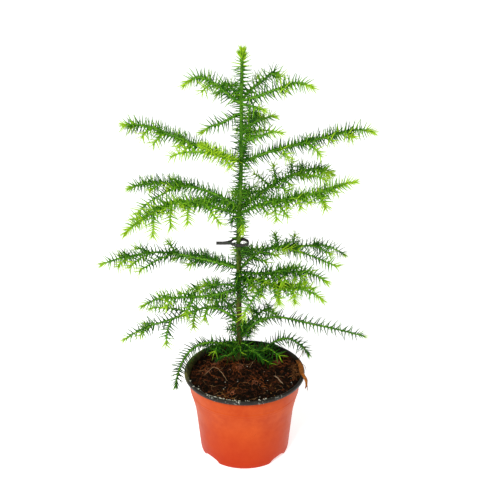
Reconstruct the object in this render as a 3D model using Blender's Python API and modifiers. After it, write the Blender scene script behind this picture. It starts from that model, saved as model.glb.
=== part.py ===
"""A young Norfolk Island pine in a 12 cm nursery pot, as separate solids.

The trunk is one leaning, tapering stem. Boughs leave it in tiers, numbered from the soil up.
A strong bough is a bare tapering limb that ends where it enters its mass of needles. A weak one
is a mass from the trunk out. A mass is a needle-clad shoot with its side shoots, as one closed,
uneven solid.

Metres, +Z up. The origin is the middle of the pot's flat underside, and the pot's front faces -Y.
Headings are degrees about Z: 0 is +X, to the right seen from the front, and 90 is to the rear.
"""

import math
import random

import bmesh
import bpy
from mathutils import Matrix, Vector

MM = 0.001
GAP = 0.3 * MM  # clearance that neighbouring solids keep

# Pot
POT_HEIGHT = 88.5 * MM
RIM_RADIUS = 60 * MM
LIP_HEIGHT = 4 * MM
LIP_WIDTH = 3.2 * MM
UNDER_LIP = POT_HEIGHT - LIP_HEIGHT
RIDGE = 68.5 * MM  # height of the ring line round the wall
RIDGE_RADIUS = 54.2 * MM
SHOULDER = 49 * MM  # height where the flare to the ridge starts
SHOULDER_RADIUS = 49.3 * MM
WALL_FOOT_RADIUS = 45 * MM
FOOT_ROUND = 4.5 * MM
FOOT_KNUCKLE = (1.6 * MM, 1.4 * MM)  # the rounded foot's middle point, out from the base and up
BASE_RADIUS = 42.5 * MM
WALL = 1.2 * MM
FLOOR = 5.2 * MM
POT_STEPS = 28
NOTCH_TURNS = (40, 140, 220, 320)  # headings of the drainage notches
NOTCH_HEIGHT = 4 * MM
NOTCH_WIDTH = 21 * MM
NOTCH_INNER_RADIUS = 31 * MM
NOTCH_DEPTH = 20 * MM  # along the radius, past the wall

# Soil
SOIL_LEVEL = 82.5 * MM  # in the middle of the pot
SOIL_TILT = (0.04, 0.05)  # rise towards the right and the rear
MOUND_HEIGHT = 2.6 * MM
MOUND_REACH = 26 * MM
SOIL_ROUGHNESS = 1.1 * MM
SOIL_GAP = 1.6 * GAP  # between its edge and the pot's wall
SOIL_CALM = 8 * MM  # round the stem, where the surface is smooth
SOIL_STEPS = 24
SOIL_RINGS = 5

# Trunk
TRUNK_FOOT = Vector((-5.7 * MM, 24.1 * MM, 86.9 * MM))
TRUNK_TOP_HEIGHT = 404 * MM
TRUNK_RADIUS = 2.9 * MM
TRUNK_TOP_RADIUS = 1.5 * MM
ROOT_FLARE = 1.5 * MM
FLARE_HEIGHT = 9 * MM
# The stem's sideways offset from its foot, against its share of the height.
TRUNK_SWAY = ((0.0, 0.0), (0.09, 0.4), (0.42, 0.1), (0.68, 3.2), (0.86, 3.4), (1.0, 4.4))
TRUNK_LEAN = -6 * MM  # towards the front, foot to tip
LEADER_LENGTH = 34 * MM
LEADER_RADIUS = 5.5 * MM
LEADER_TOP = 410 * MM
TRUNK_JOINTS = 13
JOINT_SPREAD = 1.15  # above 1 the joints lie closer together at the foot

# Plant tie
TIE_HEIGHT = 217.5 * MM
TIE_BAND = 3 * MM
TIE_THICKNESS = 1.1 * MM
TIE_LOOP = (8.6 * MM, 4.6 * MM)  # outer half width and half depth
TIE_TAIL = 15 * MM
TIE_SHIFT = 1.6 * MM  # of the loop's middle to the right of the stem
TIE_STEPS = 18

# Limbs and masses
LIMB_RADIUS = 1.45 * MM
LIMB_TIP_RADIUS = 1.1 * MM
LIMB_SHARE = 0.22  # of the bough's length that stays bare in the model
LIMB_STEPS = 4
LIMB_GAP = 1.4 * GAP  # along the route, from the limb's end to its mass
MASS_RADII = (6.2 * MM, 3.4 * MM)  # towards the foot and the tip
SHOOT_RADII = (4.2 * MM, 2.6 * MM)
FLATNESS = 0.8
UNEVENNESS = 0.16
MASS_GRID = (6, 6)  # sides round the body, and rings along it
SHOOT_GRID = (4, 4)
LEADER_GRID = (8, 6)
TRUNK_CLEARANCE = 1.2 * MM
ROUTE_STEPS = 24

# Every bough: tier, side, foot height (mm), heading, turn of the heading along it, length (mm),
# slope at its foot, one third, two thirds and tip (degrees), bare limb or not, and side shoots.
# A side shoot: share of the bough where it starts, turn off the bough's heading, length (mm),
# slope at its start and at its tip.
BOUGHS = (
    ("1", "left", 100, 201, 3, 100, (37, 8, -60, -88), True, ()),
    ("1", "right", 91, 6, 10, 87, (0, 40, -30, -60), True, ()),
    ("1", "rear", 97, 82, 0, 72, (24, 8, -24, -56), False, ((0.4, 45, 18, 0, -35), (0.5, -45, 16, 0, -40))),
    ("1", "front_left", 97, 240, -26, 33, (18, 16, 0, -28), False, ()),
    ("1", "front_right", 97, -40, 0, 31, (28, 16, -4, -28), False, ((0.4, 40, 14, 6, -20),)),
    ("2", "left", 130, 184, -8, 132, (64, -20, -19, -46), True,
     ((0.26, 62, 13, -34, -66), (0.36, 60, 18, -48, -85), (0.57, 54, 27, -55, -88),
      (0.42, -34, 52, 4, -26), (0.7, -42, 20, -10, -35))),
    ("2", "right", 113, 8, 4, 146, (63, -15, -21, -23), True, ()),
    ("2", "rear_right", 117, 48, 3, 60, (17, 23, 4, -72), False, ((0.45, 45, 14, 10, -20),)),
    ("2", "rear", 122, 108, 4, 92, (26, 6, -14, -38), False,
     ((0.32, 48, 26, 4, -24), (0.36, -48, 24, 4, -24), (0.6, 44, 18, -8, -34), (0.62, -44, 16, -8, -34))),
    ("3", "left", 167, 194, 0, 99, (-15, -1, 10, -30), True,
     ((0.42, 50, 22, -20, -55), (0.4, -50, 24, 2, -20), (0.64, 44, 14, -10, -35), (0.66, -44, 16, 4, -20))),
    ("3", "right", 180, -34, 2, 96, (16, -10, 18, -28), True,
     ((0.31, -88, 48, -4, -36), (0.45, -58, 20, -10, -55), (0.62, -52, 18, 0, -50),
      (0.42, 50, 30, 5, -15), (0.66, 45, 18, 5, -20))),
    ("3", "rear_left", 168, 134, 0, 74, (-8, -18, -28, -44), False,
     ((0.4, 46, 20, -16, -36), (0.45, -46, 20, -16, -36))),
    ("4", "left", 190, 174, 1, 142, (16, 11, -11, -23), True,
     ((0.42, -52, 20, 28, 12), (0.44, 36, 40, -4, -26), (0.6, 42, 28, -6, -32), (0.74, 38, 20, -12, -36),
      (0.62, -44, 26, 2, -18), (0.78, -40, 16, -6, -24))),
    ("4", "rear_right", 189, 34, 4, 148, (43, -15, -13, -40), True,
     ((0.33, 60, 34, 6, -8), (0.46, 48, 26, 8, 0), (0.36, -38, 60, -16, -24), (0.62, -44, 24, -12, -34),
      (0.66, 44, 18, -10, -26))),
    ("4", "right", 186, -17, -2, 93, (-6, 20, 0, -35), True,
     ((0.36, -50, 24, 8, -24), (0.4, 48, 24, 8, -14), (0.64, 44, 18, 0, -28), (0.64, -44, 16, -4, -38))),
    ("4", "rear", 192, 84, 0, 104, (-2, -12, -20, -40), True,
     ((0.36, 46, 15, 8, -16), (0.4, -46, 24, 8, -16), (0.62, 42, 14, -8, -30), (0.64, -42, 14, -8, -30))),
    ("4", "rear_left", 190, 144, 0, 84, (4, -2, -12, -30), False,
     ((0.4, 44, 24, -6, -24), (0.46, -44, 24, -6, -24))),
    ("5", "left", 255, 162, -6, 122, (30, 6, -2, -34), True,
     ((0.46, 44, 56, -4, -44), (0.5, -46, 34, 2, -22), (0.72, -42, 20, -4, -28))),
    ("5", "front_left", 249, 210, -1, 126, (24, 24, -14, -41), True,
     ((0.3, 100, 26, -18, -44), (0.45, 62, 21, -45, -82), (0.59, 60, 22, -50, -85), (0.73, 55, 22, -50, -85),
      (0.44, -50, 26, 4, -28), (0.62, -44, 22, -10, -38))),
    ("5", "front", 249, -84, 0, 30, (-2, -10, -32, -62), False, ()),
    ("5", "right", 249, -12, -2, 118, (34, 13, 24, 12), True,
     ((0.27, -60, 21, -8, -76), (0.47, -56, 15, 6, -70), (0.66, -54, 20, 0, -62),
      (0.38, 50, 30, 8, -14), (0.59, 46, 22, 10, -12))),
    ("5", "rear_right", 253, 34, 6, 124, (27, 18, 2, -49), True,
     ((0.30, 88, 30, 12, 4), (0.36, 58, 34, 18, 6), (0.52, 50, 30, 14, 4), (0.56, -42, 32, 2, -26),
      (0.74, -40, 18, -10, -40))),
    ("5", "rear", 252, 87, 0, 92, (2, -6, -16, -38), True,
     ((0.38, 46, 12, 4, -18), (0.42, -46, 15, 4, -18), (0.64, 42, 12, -8, -30), (0.66, -42, 12, -8, -30))),
    ("5", "rear_left", 251, 134, 0, 74, (4, -4, -14, -36), False,
     ((0.42, 44, 20, -4, -26), (0.48, -44, 20, -4, -26))),
    ("6", "left", 301, 167, -3, 121, (17, 16, 19, -10), True,
     ((0.36, 54, 14, 4, -40), (0.62, 50, 17, -14, -56), (0.74, 48, 14, -14, -58), (0.44, -48, 28, 8, -14),
      (0.64, -44, 20, 8, -14), (0.87, 44, 9, -8, -40))),
    ("6", "front_left", 301, -132, 0, 60, (19, 29, 34, 26), False,
     ((0.5, -48, 46, 18, -18), (0.42, 68, 17, 2, -40))),
    ("6", "right", 300, 8, 6, 131, (22, 10, 16, -20), True,
     ((0.27, -62, 15, 14, -70), (0.46, -54, 21, -2, -46), (0.6, -56, 12, 12, -24), (0.74, -46, 11, 0, -34),
      (0.42, 48, 28, 8, -18), (0.64, 46, 20, 10, -18))),
    ("6", "rear", 301, 82, 0, 112, (18, 14, 10, -26), True,
     ((0.42, 44, 18, 8, -16), (0.4, -46, 30, 8, -16), (0.64, -42, 18, 4, -24), (0.66, 42, 12, 4, -24))),
    ("7", "left", 346, 200, 0, 42, (-18, -27, -7, -29), False, ()),
    ("7", "front_right", 355, -35, 0, 28, (-7, 0, 0, -25), False, ()),
    ("7", "right", 333, 28, 0, 39, (14, 18, 7, -24), False, ()),
    ("7", "low_right", 320, -10, 0, 39, (24, 22, 20, -20), False, ()),
    ("8", "left", 357, 172, 0, 62, (38, 38, 13, -52), False,
     ((0.46, 50, 16, -10, -40), (0.5, -50, 14, 14, -16))),
    ("8", "right", 359, -8, 0, 70, (14, 27, 16, -37), False,
     ((0.5, 46, 12, 10, -20), (0.52, -46, 10, 4, -30))),
    ("8", "rear_right", 360, 45, 3, 57, (43, 19, 20, -53), False, ((0.42, 52, 14, 20, 6),)),
    ("8", "rear_left", 358, 118, 0, 36, (32, 28, 8, -32), False, ()),
)

COLOURS = {
    "pot": ((0.72, 0.10, 0.03, 1), 0.42),
    "soil": ((0.022, 0.012, 0.007, 1), 0.95),
    "trunk": ((0.10, 0.13, 0.03, 1), 0.7),
    "bough": ((0.06, 0.16, 0.03, 1), 0.6),
    "needles": ((0.05, 0.22, 0.02, 1), 0.5),
    "stem_tie": ((0.03, 0.035, 0.03, 1), 0.5),
}


# --- scene and small helpers ---------------------------------------------------------------


def clear_scene():
    for obj in list(bpy.data.objects):
        bpy.data.objects.remove(obj)


def new_collection(name):
    collection = bpy.data.collections.new(name)
    bpy.context.scene.collection.children.link(collection)
    return collection


def material(kind):
    found = bpy.data.materials.get(kind)
    if found:
        return found
    colour, roughness = COLOURS[kind]
    made = bpy.data.materials.new(kind)
    made.use_nodes = True
    made.diffuse_color = colour
    shader = made.node_tree.nodes["Principled BSDF"]
    shader.inputs["Base Color"].default_value = colour
    shader.inputs["Roughness"].default_value = roughness
    shader.inputs["Metallic"].default_value = 0.0
    return made


def add_object(name, data, collection, kind=None):
    obj = bpy.data.objects.new(name, data)
    collection.objects.link(obj)
    if kind:
        data.materials.append(material(kind))
    return obj


def make_helper(obj):
    obj.hide_render = True
    obj.display_type = "WIRE"
    return obj


def evaluated_mesh(obj, weld=0.00001):
    """The object's mesh with its modifiers applied and its loose caps welded on."""
    bpy.context.view_layer.update()
    graph = bpy.context.evaluated_depsgraph_get()
    mesh = bpy.data.meshes.new_from_object(obj.evaluated_get(graph))
    work = bmesh.new()
    work.from_mesh(mesh)
    bmesh.ops.remove_doubles(work, verts=work.verts, dist=weld)
    bmesh.ops.recalc_face_normals(work, faces=work.faces)
    work.to_mesh(mesh)
    work.free()
    return mesh


def boolean(obj, other, operation):
    modifier = obj.modifiers.new(operation.lower(), "BOOLEAN")
    modifier.operation = operation
    modifier.solver = "EXACT"
    if isinstance(other, bpy.types.Collection):
        modifier.operand_type = "COLLECTION"
        modifier.collection = other
    else:
        modifier.object = other


def turned(name, profile, steps, collection, kind):
    """A profile of (radius, height) points turned about Z, from the axis up its inside, then down outside."""
    mesh = bpy.data.meshes.new(name)
    points = [(radius, 0, height) for radius, height in profile]
    mesh.from_pydata(points, [(i, i + 1) for i in range(len(points) - 1)], [])
    obj = add_object(name, mesh, collection, kind)
    screw = obj.modifiers.new("turn", "SCREW")
    screw.steps = screw.render_steps = steps
    screw.use_merge_vertices = True
    screw.merge_threshold = 0.00001
    screw.use_smooth_shade = True
    return obj


def interpolate(pairs, at):
    """The value at a place, read from (place, value) pairs in order."""
    for (low, value), (high, after) in zip(pairs, pairs[1:]):
        if at <= high:
            return value + (after - value) * (at - low) / (high - low)
    return pairs[-1][1]


# --- routes of the stem, the boughs and the side shoots -------------------------------------


def trunk_point(height):
    share = (height - TRUNK_FOOT.z) / (TRUNK_TOP_HEIGHT - TRUNK_FOOT.z)
    return Vector((
        TRUNK_FOOT.x + interpolate(TRUNK_SWAY, max(share, 0.0)) * MM,
        TRUNK_FOOT.y + TRUNK_LEAN * share,
        height,
    ))


def trunk_radius(height):
    share = (height - TRUNK_FOOT.z) / (TRUNK_TOP_HEIGHT - TRUNK_FOOT.z)
    flare = ROOT_FLARE * math.exp(-(height - TRUNK_FOOT.z) / (FLARE_HEIGHT / 2))
    return TRUNK_RADIUS + (TRUNK_TOP_RADIUS - TRUNK_RADIUS) * share + flare


def limb_route(start, heading, sweep, length, slopes):
    """Points along a limb whose slope runs evenly through the given slopes."""
    knots = [(i / (len(slopes) - 1), slope) for i, slope in enumerate(slopes)]
    points = [start.copy()]
    for step in range(ROUTE_STEPS):
        share = (step + 0.5) / ROUTE_STEPS
        turn = math.radians(heading + sweep * share)
        slope = math.radians(interpolate(knots, share))
        run = Vector((math.cos(turn) * math.cos(slope), math.sin(turn) * math.cos(slope), math.sin(slope)))
        points.append(points[-1] + run * (length / ROUTE_STEPS))
    return points


def point_at(route, share):
    place = min(max(share, 0.0), 1.0) * (len(route) - 1)
    low = min(int(place), len(route) - 2)
    return route[low].lerp(route[low + 1], place - low)


def direction_at(route, share):
    return (point_at(route, share + 0.02) - point_at(route, share - 0.02)).normalized()


def bough_route(foot, heading, sweep, length, slopes):
    """The route from the trunk's surface. The length counts from the trunk's middle."""
    height = foot * MM
    clear = trunk_radius(height) + TRUNK_CLEARANCE
    turn = math.radians(heading)
    start = trunk_point(height) + Vector((math.cos(turn), math.sin(turn), 0)) * clear
    return limb_route(start, heading, sweep, length * MM - clear, slopes)


def shoot_route(route, at, turn, length, slope, tip_slope):
    run = direction_at(route, at)
    heading = math.degrees(math.atan2(run.y, run.x)) + turn
    return limb_route(point_at(route, at), heading, 0, length * MM, (slope, tip_slope))


# --- solids ---------------------------------------------------------------------------------


def wall_radius(height):
    """The pot's outer radius under the lip."""
    knots = (
        (FOOT_ROUND, WALL_FOOT_RADIUS),
        (SHOULDER, SHOULDER_RADIUS),
        (RIDGE, RIDGE_RADIUS),
        (UNDER_LIP, RIM_RADIUS - LIP_WIDTH),
    )
    return interpolate(knots, height)


def make_pot(collection, helpers):
    inner = [(wall_radius(z) - WALL, z) for z in (FLOOR, SHOULDER, RIDGE, UNDER_LIP)]
    outer = [(wall_radius(z), z) for z in (UNDER_LIP, RIDGE, SHOULDER, FOOT_ROUND)]
    lip = [
        (RIM_RADIUS - LIP_WIDTH, POT_HEIGHT - 0.15 * LIP_HEIGHT),
        (RIM_RADIUS - 0.7 * LIP_WIDTH, POT_HEIGHT),
        (RIM_RADIUS - 0.25 * LIP_WIDTH, POT_HEIGHT),
        (RIM_RADIUS, POT_HEIGHT - 0.3 * LIP_HEIGHT),
        (RIM_RADIUS, POT_HEIGHT - 0.75 * LIP_HEIGHT),
        (RIM_RADIUS - 0.3 * LIP_WIDTH, UNDER_LIP),
    ]
    foot = [(BASE_RADIUS + FOOT_KNUCKLE[0], FOOT_KNUCKLE[1]), (BASE_RADIUS, 0)]
    profile = [(0, FLOOR), *inner, *lip, *outer, *foot, (0, 0)]
    pot = turned("pot", profile, POT_STEPS, collection, "pot")
    for index, heading in enumerate(NOTCH_TURNS):
        cutter = notch_cutter(f"notch_{index}", math.radians(heading), helpers)
        boolean(pot, cutter, "DIFFERENCE")
    return pot


def notch_cutter(name, angle, helpers):
    """A barrel-topped block along the radius, which cuts one drainage arch under the pot's edge."""
    work = bmesh.new()
    bmesh.ops.create_cone(work, cap_ends=True, segments=16, radius1=1, radius2=1, depth=1)
    along = Matrix.Rotation(math.pi / 2, 4, "Y")
    size = Matrix.Diagonal((NOTCH_DEPTH, NOTCH_WIDTH / 2, NOTCH_HEIGHT, 1))
    bmesh.ops.transform(work, matrix=size @ along, verts=work.verts)
    bmesh.ops.recalc_face_normals(work, faces=work.faces)
    mesh = bpy.data.meshes.new(name)
    work.to_mesh(mesh)
    work.free()
    cutter = make_helper(add_object(name, mesh, helpers))
    middle = NOTCH_INNER_RADIUS + NOTCH_DEPTH / 2
    cutter.location = (middle * math.cos(angle), middle * math.sin(angle), 0)
    cutter.rotation_euler = (0, 0, angle)
    return cutter


def soil_plane(x, y):
    return SOIL_LEVEL + SOIL_TILT[0] * x + SOIL_TILT[1] * y


def soil_height(x, y, waves):
    """Height of the soil's surface: a mound round the stem, and small rises and hollows."""
    away = math.hypot(x - TRUNK_FOOT.x, y - TRUNK_FOOT.y)
    mound = MOUND_HEIGHT * max(0.0, 1 - (away / MOUND_REACH) ** 2) ** 1.5
    ripple = sum(math.sin(x * a + y * b + c) for a, b, c in waves) / len(waves)
    calm = min(1.0, away / SOIL_CALM)
    return soil_plane(x, y) + mound + SOIL_ROUGHNESS * ripple * calm


def soil_waves():
    """Seeded waves across the soil: (radians per metre along x, along y, phase)."""
    rng = random.Random(12)
    return [(rng.uniform(-320, 320), rng.uniform(-320, 320), rng.uniform(0, 6.3)) for _ in range(5)]


def soil_radius(height):
    return wall_radius(height) - WALL - SOIL_GAP


def make_soil(collection):
    floor = FLOOR + GAP
    inside = [(soil_radius(z), z) for z in (SOIL_LEVEL, RIDGE, SHOULDER, floor)]
    edge = inside[0][0]
    top = [(edge * ring / SOIL_RINGS, SOIL_LEVEL) for ring in range(SOIL_RINGS)]
    guide = turned("soil_blank", [*top, *inside, (0, floor)], SOIL_STEPS, collection, "soil")
    mesh = evaluated_mesh(guide)
    bpy.data.objects.remove(guide)
    waves = soil_waves()
    for vertex in mesh.vertices:
        radius = math.hypot(vertex.co.x, vertex.co.y)
        if vertex.co.z < SOIL_LEVEL - GAP:
            continue
        if radius < edge - GAP:
            vertex.co.z = soil_height(vertex.co.x, vertex.co.y, waves)
        else:
            vertex.co.z = soil_plane(vertex.co.x, vertex.co.y)
            vertex.co.xy *= soil_radius(vertex.co.z) / radius
    return add_object("soil", mesh, collection)


def tapered_tube(name, points, radii, collection, kind, resolution=2):
    curve = bpy.data.curves.new(name, "CURVE")
    curve.dimensions = "3D"
    curve.bevel_depth = 1.0
    curve.bevel_resolution = resolution
    curve.use_fill_caps = True
    spline = curve.splines.new("POLY")
    spline.points.add(len(points) - 1)
    for knot, point, radius in zip(spline.points, points, radii):
        knot.co = (*point, 1)
        knot.radius = radius
    guide = add_object(name + "_guide", curve, collection, kind)
    mesh = evaluated_mesh(guide)
    mesh.shade_smooth()
    bpy.data.objects.remove(guide)
    return add_object(name, mesh, collection)


def make_trunk(collection):
    """The stem as a tapered tube. Its first stretch is upright, so the foot is a level cut."""
    tall = TRUNK_TOP_HEIGHT - TRUNK_FOOT.z
    shares = [(i / TRUNK_JOINTS) ** JOINT_SPREAD for i in range(TRUNK_JOINTS + 1)]
    heights = [TRUNK_FOOT.z + tall * share for share in shares]
    points = [trunk_point(height) for height in heights]
    points[0].xy = points[1].xy
    radii = [trunk_radius(height) for height in heights]
    return tapered_tube("trunk", points, radii, collection, "trunk")


def needle_body(name, route, first, radii, grid, rng, collection, kind=None):
    """A closed body round a route from a share of it to its tip: a sphere's rings strung along it, uneven."""
    radius, tip_radius = radii
    sides, rings = grid
    work = bmesh.new()
    bmesh.ops.create_uvsphere(work, u_segments=sides, v_segments=rings, radius=1)
    bumps = {}
    for vertex in work.verts:
        polar = math.acos(max(-1.0, min(1.0, vertex.co.z)))
        around = math.atan2(vertex.co.y, vertex.co.x)
        along = first + (1 - first) * polar / math.pi
        run = direction_at(route, along)
        side = run.cross(Vector((0, 0, 1))).normalized()
        lift = side.cross(run)
        ring = round(polar / math.pi * rings)
        swell = bumps.setdefault(ring, rng.uniform(1 - UNEVENNESS, 1 + UNEVENNESS))
        girth = (radius + (tip_radius - radius) * along) * math.sin(polar) ** 0.4
        girth *= swell * rng.uniform(1 - UNEVENNESS / 2, 1 + UNEVENNESS / 2)
        if math.sin(polar) < 0.001:
            girth = 0
        offset = side * (math.cos(around) * girth) + lift * (math.sin(around) * girth * FLATNESS)
        vertex.co = point_at(route, along) + offset
    if work.calc_volume(signed=True) < 0:
        bmesh.ops.reverse_faces(work, faces=work.faces)
    mesh = bpy.data.meshes.new(name)
    work.to_mesh(mesh)
    work.free()
    return add_object(name, mesh, collection, kind)


def make_bough(index, bough, collection, helpers):
    """The bare limb, where there is one, and the mass of needles on the bough's outer part."""
    tier, side, foot, heading, sweep, length, slopes, bare, shoots = bough
    route = bough_route(foot, heading, sweep, length, slopes)
    rng = random.Random(100 + index)
    first = 0.0
    if bare:
        shares = [i / LIMB_STEPS for i in range(LIMB_STEPS + 1)]
        radii = [LIMB_RADIUS + (LIMB_TIP_RADIUS - LIMB_RADIUS) * share for share in shares]
        points = [point_at(route, LIMB_SHARE * share) for share in shares]
        tapered_tube(f"bough_{tier}_{side}", points, radii, collection, "bough", 1)
        first = LIMB_SHARE + LIMB_GAP / (length * MM)
    name = f"needles_{tier}_{side}"
    mass = needle_body(name, route, first, MASS_RADII, MASS_GRID, rng, collection, "needles")
    if not shoots:
        return mass
    group = bpy.data.collections.new(name + "_shoots")
    helpers.children.link(group)
    for number, shoot in enumerate(shoots):
        shape = shoot_route(route, *shoot)
        make_helper(needle_body(f"{name}_shoot_{number}", shape, 0.02, SHOOT_RADII, SHOOT_GRID, rng, group))
    boolean(mass, group, "UNION")
    mesh = evaluated_mesh(mass)
    bpy.data.objects.remove(mass)
    return add_object(name, mesh, collection)


def make_leader(collection, helpers, trunk):
    """The needles round the stem's tip, cut round the stem that runs up into them."""
    foot = LEADER_TOP - LEADER_LENGTH
    route = [trunk_point(foot + LEADER_LENGTH * i / ROUTE_STEPS) for i in range(ROUTE_STEPS + 1)]
    rng = random.Random(7)
    radii = (LEADER_RADIUS, LEADER_RADIUS)
    leader = needle_body("needles_leader", route, 0.0, radii, LEADER_GRID, rng, collection, "needles")
    boolean(leader, grown_copy(trunk, helpers), "DIFFERENCE")
    return leader


def grown_copy(obj, helpers):
    """A copy pushed out by the gap, which cuts a neighbour clear of the original."""
    copy = make_helper(add_object(obj.name + "_clearance", obj.data.copy(), helpers))
    grow = copy.modifiers.new("grow", "DISPLACE")
    grow.mid_level = 0
    grow.strength = GAP * 1.3
    return copy


def oval(half_width, half_depth, start, turn, steps):
    """Points round an oval about the origin, from one angle through a turn."""
    angles = [start + turn * i / steps for i in range(steps + 1)]
    return [(half_width * math.cos(angle), half_depth * math.sin(angle)) for angle in angles]


def add_outline(curve, points):
    spline = curve.splines.new("POLY")
    spline.points.add(len(points) - 1)
    spline.use_cyclic_u = True
    for knot, (x, y) in zip(spline.points, points):
        knot.co = (x, y, 0, 1)


def make_tie(collection):
    """A flat strap: an oval loop round the stem, and its tail to the left, of two thicknesses."""
    half_width, half_depth = TIE_LOOP
    tail_half = 0.8 * TIE_THICKNESS
    curve = bpy.data.curves.new("stem_tie", "CURVE")
    curve.dimensions = "2D"
    curve.fill_mode = "BOTH"
    curve.extrude = TIE_BAND / 2
    tail_turn = math.asin(tail_half / half_depth)
    loop = oval(half_width, half_depth, math.pi + tail_turn, 2 * (math.pi - tail_turn), TIE_STEPS)
    tail_end = -half_width - TIE_TAIL
    add_outline(curve, [*loop, (tail_end, tail_half), (tail_end, -tail_half)])
    hole = oval(half_width - TIE_THICKNESS, half_depth - TIE_THICKNESS, 0, 2 * math.pi, TIE_STEPS)
    add_outline(curve, hole[:-1])
    guide = add_object("stem_tie_guide", curve, collection, "stem_tie")
    mesh = evaluated_mesh(guide)
    bpy.data.objects.remove(guide)
    tie = add_object("stem_tie", mesh, collection)
    tie.location = trunk_point(TIE_HEIGHT) + Vector((TIE_SHIFT, 0, 0))
    return tie


def main():
    clear_scene()
    parts = new_collection("potted_norfolk_pine")
    helpers = new_collection("helpers")
    make_pot(parts, helpers)
    make_soil(parts)
    trunk = make_trunk(parts)
    make_tie(parts)
    make_leader(parts, helpers, trunk)
    for index, bough in enumerate(BOUGHS):
        make_bough(index, bough, parts, helpers)


main()
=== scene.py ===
"""The looks of a young Norfolk Island pine in a 12 cm nursery pot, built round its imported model.

The stem, the boughs and their side shoots follow the same routes as the model's solids. Needles stand
on them in a golden-angle spiral, each at a boss of the stem's relief. Needles are dealt out by spray to
a few plain greens, from the old dark ones to the young yellow-green ones at the tips.

Metres, +Z up. The origin is the middle of the pot's flat underside, and the pot's front faces -Y.
Headings are degrees about Z: 0 is +X, to the right seen from the front, and 90 is to the rear.
"""

import math

import bpy
import numpy as np
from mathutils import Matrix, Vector, noise

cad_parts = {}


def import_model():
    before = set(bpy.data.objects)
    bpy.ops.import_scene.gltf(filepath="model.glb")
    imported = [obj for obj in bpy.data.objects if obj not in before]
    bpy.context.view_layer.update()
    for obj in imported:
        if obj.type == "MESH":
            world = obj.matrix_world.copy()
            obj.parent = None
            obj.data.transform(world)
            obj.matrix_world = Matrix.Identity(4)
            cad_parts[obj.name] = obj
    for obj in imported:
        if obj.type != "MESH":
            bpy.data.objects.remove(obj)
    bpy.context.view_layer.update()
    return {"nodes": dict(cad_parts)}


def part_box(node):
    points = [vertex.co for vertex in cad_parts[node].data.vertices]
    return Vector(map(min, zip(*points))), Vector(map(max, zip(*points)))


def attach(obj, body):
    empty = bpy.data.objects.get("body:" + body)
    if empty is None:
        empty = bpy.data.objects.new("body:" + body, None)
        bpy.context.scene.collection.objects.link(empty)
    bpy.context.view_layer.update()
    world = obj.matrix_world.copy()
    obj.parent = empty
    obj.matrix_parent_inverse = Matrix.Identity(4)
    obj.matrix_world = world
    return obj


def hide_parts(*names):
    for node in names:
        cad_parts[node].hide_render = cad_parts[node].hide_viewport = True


MM = 0.001
GOLDEN_ANGLE = math.pi * (3 - math.sqrt(5))
TURNED = [0, 3, 2, 1]  # the corners of a quad that faces the other way

# Pot
RIM_RADIUS = 60 * MM
LIP_HEIGHT = 4 * MM
LIP_WIDTH = 3.2 * MM
RIDGE = 68.5 * MM  # height of the ring line round the wall
RIDGE_RADIUS = 54.2 * MM
SHOULDER = 49 * MM  # height where the flare to the ridge starts
SHOULDER_RADIUS = 49.3 * MM
WALL_FOOT_RADIUS = 45 * MM
FOOT_ROUND = 4.5 * MM
BASE_RADIUS = 42.5 * MM
WALL = 1.2 * MM
RIDGE_RISE = 0.35 * MM
NOTCH_TURNS = (40, 140, 220, 320)
NOTCH_HEIGHT = 4 * MM
NOTCH_HALF_WIDTH = 10.5 * MM
FOOT_RING = 3.2 * MM
BASE_RECESS = 3.6 * MM
POT_SIDES = 180

# Soil
SOIL_LEVEL = 82.5 * MM  # in the middle of the pot
SOIL_DEPTH = 60 * MM
SOIL_TILT = (0.04, 0.05)  # rise towards the right and the rear
SOIL_LIFT = 1 * MM  # makes up for the hollows between the clods
MOUND_HEIGHT = 2.6 * MM
MOUND_REACH = 26 * MM
# Middles (mm) of the tangles of red-brown fibre on the peat.
RED_PATCHES = ((-17, 27), (-30, 19), (-23, 25), (-38, 6), (-5, 9), (11, -17), (18, 47), (34, 18), (-12, -32))

# Trunk
TRUNK_FOOT = Vector((-5.7 * MM, 24.1 * MM, 86.9 * MM))
TRUNK_TOP_HEIGHT = 404 * MM
TRUNK_RADIUS = 2.9 * MM
TRUNK_TOP_RADIUS = 1.5 * MM
ROOT_FLARE = 1.5 * MM
FLARE_HEIGHT = 9 * MM
TRUNK_SWAY = ((0.0, 0.0), (0.09, 0.4), (0.42, 0.1), (0.68, 3.2), (0.86, 3.4), (1.0, 4.4))
TRUNK_LEAN = -6 * MM

# Plant tie
TIE_HEIGHT = 217.5 * MM
TIE_BAND = 3 * MM
TIE_THICKNESS = 0.9 * MM
TIE_LOOP = (8.6 * MM, 4.6 * MM)
TIE_TAIL = 15 * MM
TIE_SHIFT = 1.6 * MM

# Limbs
TRUNK_CLEARANCE = 1.2 * MM
ROUTE_STEPS = 48
BOUGH_RADIUS = 1.45 * MM
BOUGH_TIP_RADIUS = 0.75 * MM
SHOOT_RADIUS = 0.95 * MM
SHOOT_TIP_RADIUS = 0.6 * MM
LIMB_RING_GAP = 0.9 * MM
BOSS_RELIEF = 0.2  # how much of a limb's radius its bosses swell by

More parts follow.
